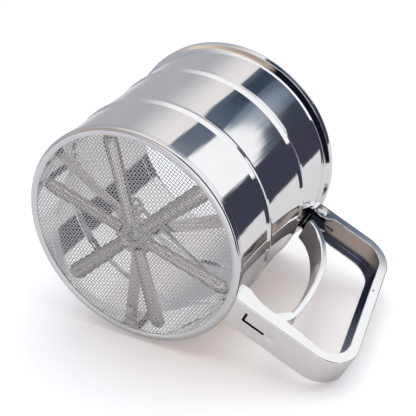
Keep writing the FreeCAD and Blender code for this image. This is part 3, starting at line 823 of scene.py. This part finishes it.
def world():
    """A white tent with cards in it; the camera sees the tent's white behind the object."""
    sky = bpy.data.worlds.new("studio")
    bpy.context.scene.world = sky
    sky.use_nodes = True
    tree = sky.node_tree
    place = tree.nodes.new("ShaderNodeTexCoord").outputs["Generated"]
    ripple = noise(tree, place, 30, 2)
    x, y, z = wired(tree, "ShaderNodeSeparateXYZ", Vector=place).outputs
    azimuth = worked(tree, "DEGREES", worked(tree, "ARCTAN2", y, x))
    height = worked(tree, "DEGREES", worked(tree, "ARCSINE", z))
    # The cards' sides and their lower and upper edges waver by these degrees.
    side_waver, edge_waver = 9.0, 0.4
    azimuth = worked(tree, "ADD", azimuth, worked(tree, "MULTIPLY_ADD", ripple, side_waver, -side_waver / 2))
    height = worked(tree, "ADD", height, worked(tree, "MULTIPLY_ADD", ripple, edge_waver, -edge_waver / 2))

    def turned(middle):
        """Degrees round Z from a direction, from -180 to 180."""
        return worked(tree, "WRAP", worked(tree, "SUBTRACT", azimuth, middle), 180, -180)

    seen = white
    for middle, half, low, high, side_blur, edge_blur, tone in cards:
        sides = step(tree, worked(tree, "ABSOLUTE", turned(middle)), half, side_blur, rising=False)
        above = step(tree, height, low, edge_blur)
        below = step(tree, height, high, edge_blur, rising=False)
        mask = worked(tree, "MULTIPLY", worked(tree, "MULTIPLY", sides, above), below)
        seen = mixed(tree, mask, seen, linear(*tone))
    for middle, half, level, half_height, blur, tone in patches:
        across = worked(tree, "DIVIDE", turned(middle), half)
        up = worked(tree, "DIVIDE", worked(tree, "SUBTRACT", height, level), half_height)
        off = measured(tree, "LENGTH", wired(tree, "ShaderNodeCombineXYZ", X=across, Y=up).outputs[0])
        seen = mixed(tree, step(tree, off, 1, blur, rising=False), seen, linear(*tone))
    path = tree.nodes.new("ShaderNodeLightPath")
    plain = worked(tree, "MAXIMUM", path.outputs["Is Camera Ray"], path.outputs["Is Transmission Ray"])
    tree.links.new(mixed(tree, plain, seen, white), tree.nodes["Background"].inputs["Color"])


def table():
    """The pale surface that the cup and its handle lie on, which shows from one side only."""
    half_size, level, gap = 500 * MM, 40 * MM, 0.1 * MM
    facing = Vector((math.cos(math.radians(64)), math.sin(math.radians(64)), 0))
    middle = facing * (cup_high.x + gap) + Vector((0, 0, level))
    across = Vector((-facing.y, facing.x, 0))
    side, rise = across * half_size, Vector((0, 0, half_size))
    corners = [middle - side - rise, middle + side - rise, middle + side + rise, middle - side + rise]
    top = piece("table", corners, [(0, 1, 2, 3)])
    if top.data.polygons[0].normal.dot(facing) > 0:
        top.data.flip_normals()
    top.data.materials.append(tabletop(middle, across))


def tabletop(middle, across):
    """A matt white that fades to nothing away from the middle, behind, and past a ragged edge on one side."""
    fade, fade_blur = 330 * MM, 120 * MM
    edge, edge_blur, ragged = -150 * MM, 3 * MM, 60 * MM
    # Polished steel sees the surface painted duller than it looks and only a share of its glow: a painted
    # darker reflection.
    plain, mirrored, mirrored_glow = (0.86, 0.87, 0.88, 1.0), (0.68, 0.66, 0.65, 1.0), 0.18
    # The glow is painted shade too: warm and dimmer beside the handle, deepening the shadow in its loop, and
    # cool and brighter further off.
    handle_side, near, near_blur = Vector((30 * MM, 0, 0)), 90 * MM, 70 * MM
    warm, cool = (0.24, 0.2, 0.18, 1.0), (0.27, 0.335, 0.45, 1.0)
    material = bpy.data.materials.new("table")
    material.use_nodes = True
    tree = material.node_tree
    place = tree.nodes.new("ShaderNodeTexCoord").outputs["Object"]
    path = tree.nodes.new("ShaderNodeLightPath")
    behind = tree.nodes.new("ShaderNodeNewGeometry").outputs["Backfacing"]
    far_off = step(tree, measured(tree, "DISTANCE", place, middle), fade, fade_blur)
    along = measured(tree, "DOT_PRODUCT", place, across)
    along = worked(tree, "MULTIPLY_ADD", noise(tree, place, 90, 2), ragged, along)
    past_edge = step(tree, along, edge, edge_blur, rising=False)
    clear = worked(tree, "MAXIMUM", worked(tree, "MAXIMUM", far_off, behind), past_edge)

    tone = mixed(tree, path.outputs["Is Glossy Ray"], plain, mirrored)
    looking = worked(tree, "MULTIPLY", path.outputs["Is Glossy Ray"], mirrored_glow)
    looking = worked(tree, "MAXIMUM", path.outputs["Is Camera Ray"], looking)
    looking = worked(tree, "MAXIMUM", looking, path.outputs["Is Transmission Ray"])
    from_handle = step(tree, measured(tree, "DISTANCE", place, middle + handle_side), near, near_blur)
    tint = mixed(tree, from_handle, warm, cool)
    shaded = wired(tree, "ShaderNodeBsdfDiffuse", Color=tone)
    bright = wired(tree, "ShaderNodeEmission", Color=tint, Strength=looking)
    surface = wired(tree, "ShaderNodeAddShader", _0=shaded.outputs[0], _1=bright.outputs[0])
    gone = tree.nodes.new("ShaderNodeBsdfTransparent")
    both = wired(tree, "ShaderNodeMixShader", _0=clear, _1=surface.outputs[0], _2=gone.outputs[0])
    tree.links.new(both.outputs[0], tree.nodes["Material Output"].inputs["Surface"])
    return material


def lamp():
    """A broad soft lamp that lays the shadow under the ring and the handle.

    Polished steel shows the tent and its cards, and not the lamp's own disc."""
    light = bpy.data.lights.new("lamp", "SUN")
    light.energy = 1.1
    light.angle = math.radians(70)
    held = bpy.data.objects.new("lamp", light)
    bpy.context.scene.collection.objects.link(held)
    held.visible_glossy = False
    held.rotation_euler = Vector((0.58, 0.99, -0.18)).to_track_quat("-Z", "Y").to_euler()


def camera():
    """The eye below the screen's side, looking up at the cup that lies on the table."""
    lens = bpy.data.cameras.new("camera")
    lens.sensor_width = 36
    lens.lens = 90.89
    lens.clip_start = 10 * MM
    lens.clip_end = 10
    eye = bpy.data.objects.new("camera", lens)
    bpy.context.scene.collection.objects.link(eye)
    right = Vector((0.8017, -0.3706, 0.4689))
    up = Vector((-0.5808, -0.6684, 0.4646))
    place = Vector((78.65, -296.80, -300.98)) * MM
    turn = Matrix((right, up, right.cross(up))).transposed().to_4x4()
    eye.matrix_world = Matrix.Translation(place) @ turn
    bpy.context.scene.camera = eye


world()
table()
lamp()
camera()
bpy.context.scene.view_settings.view_transform = "Standard"
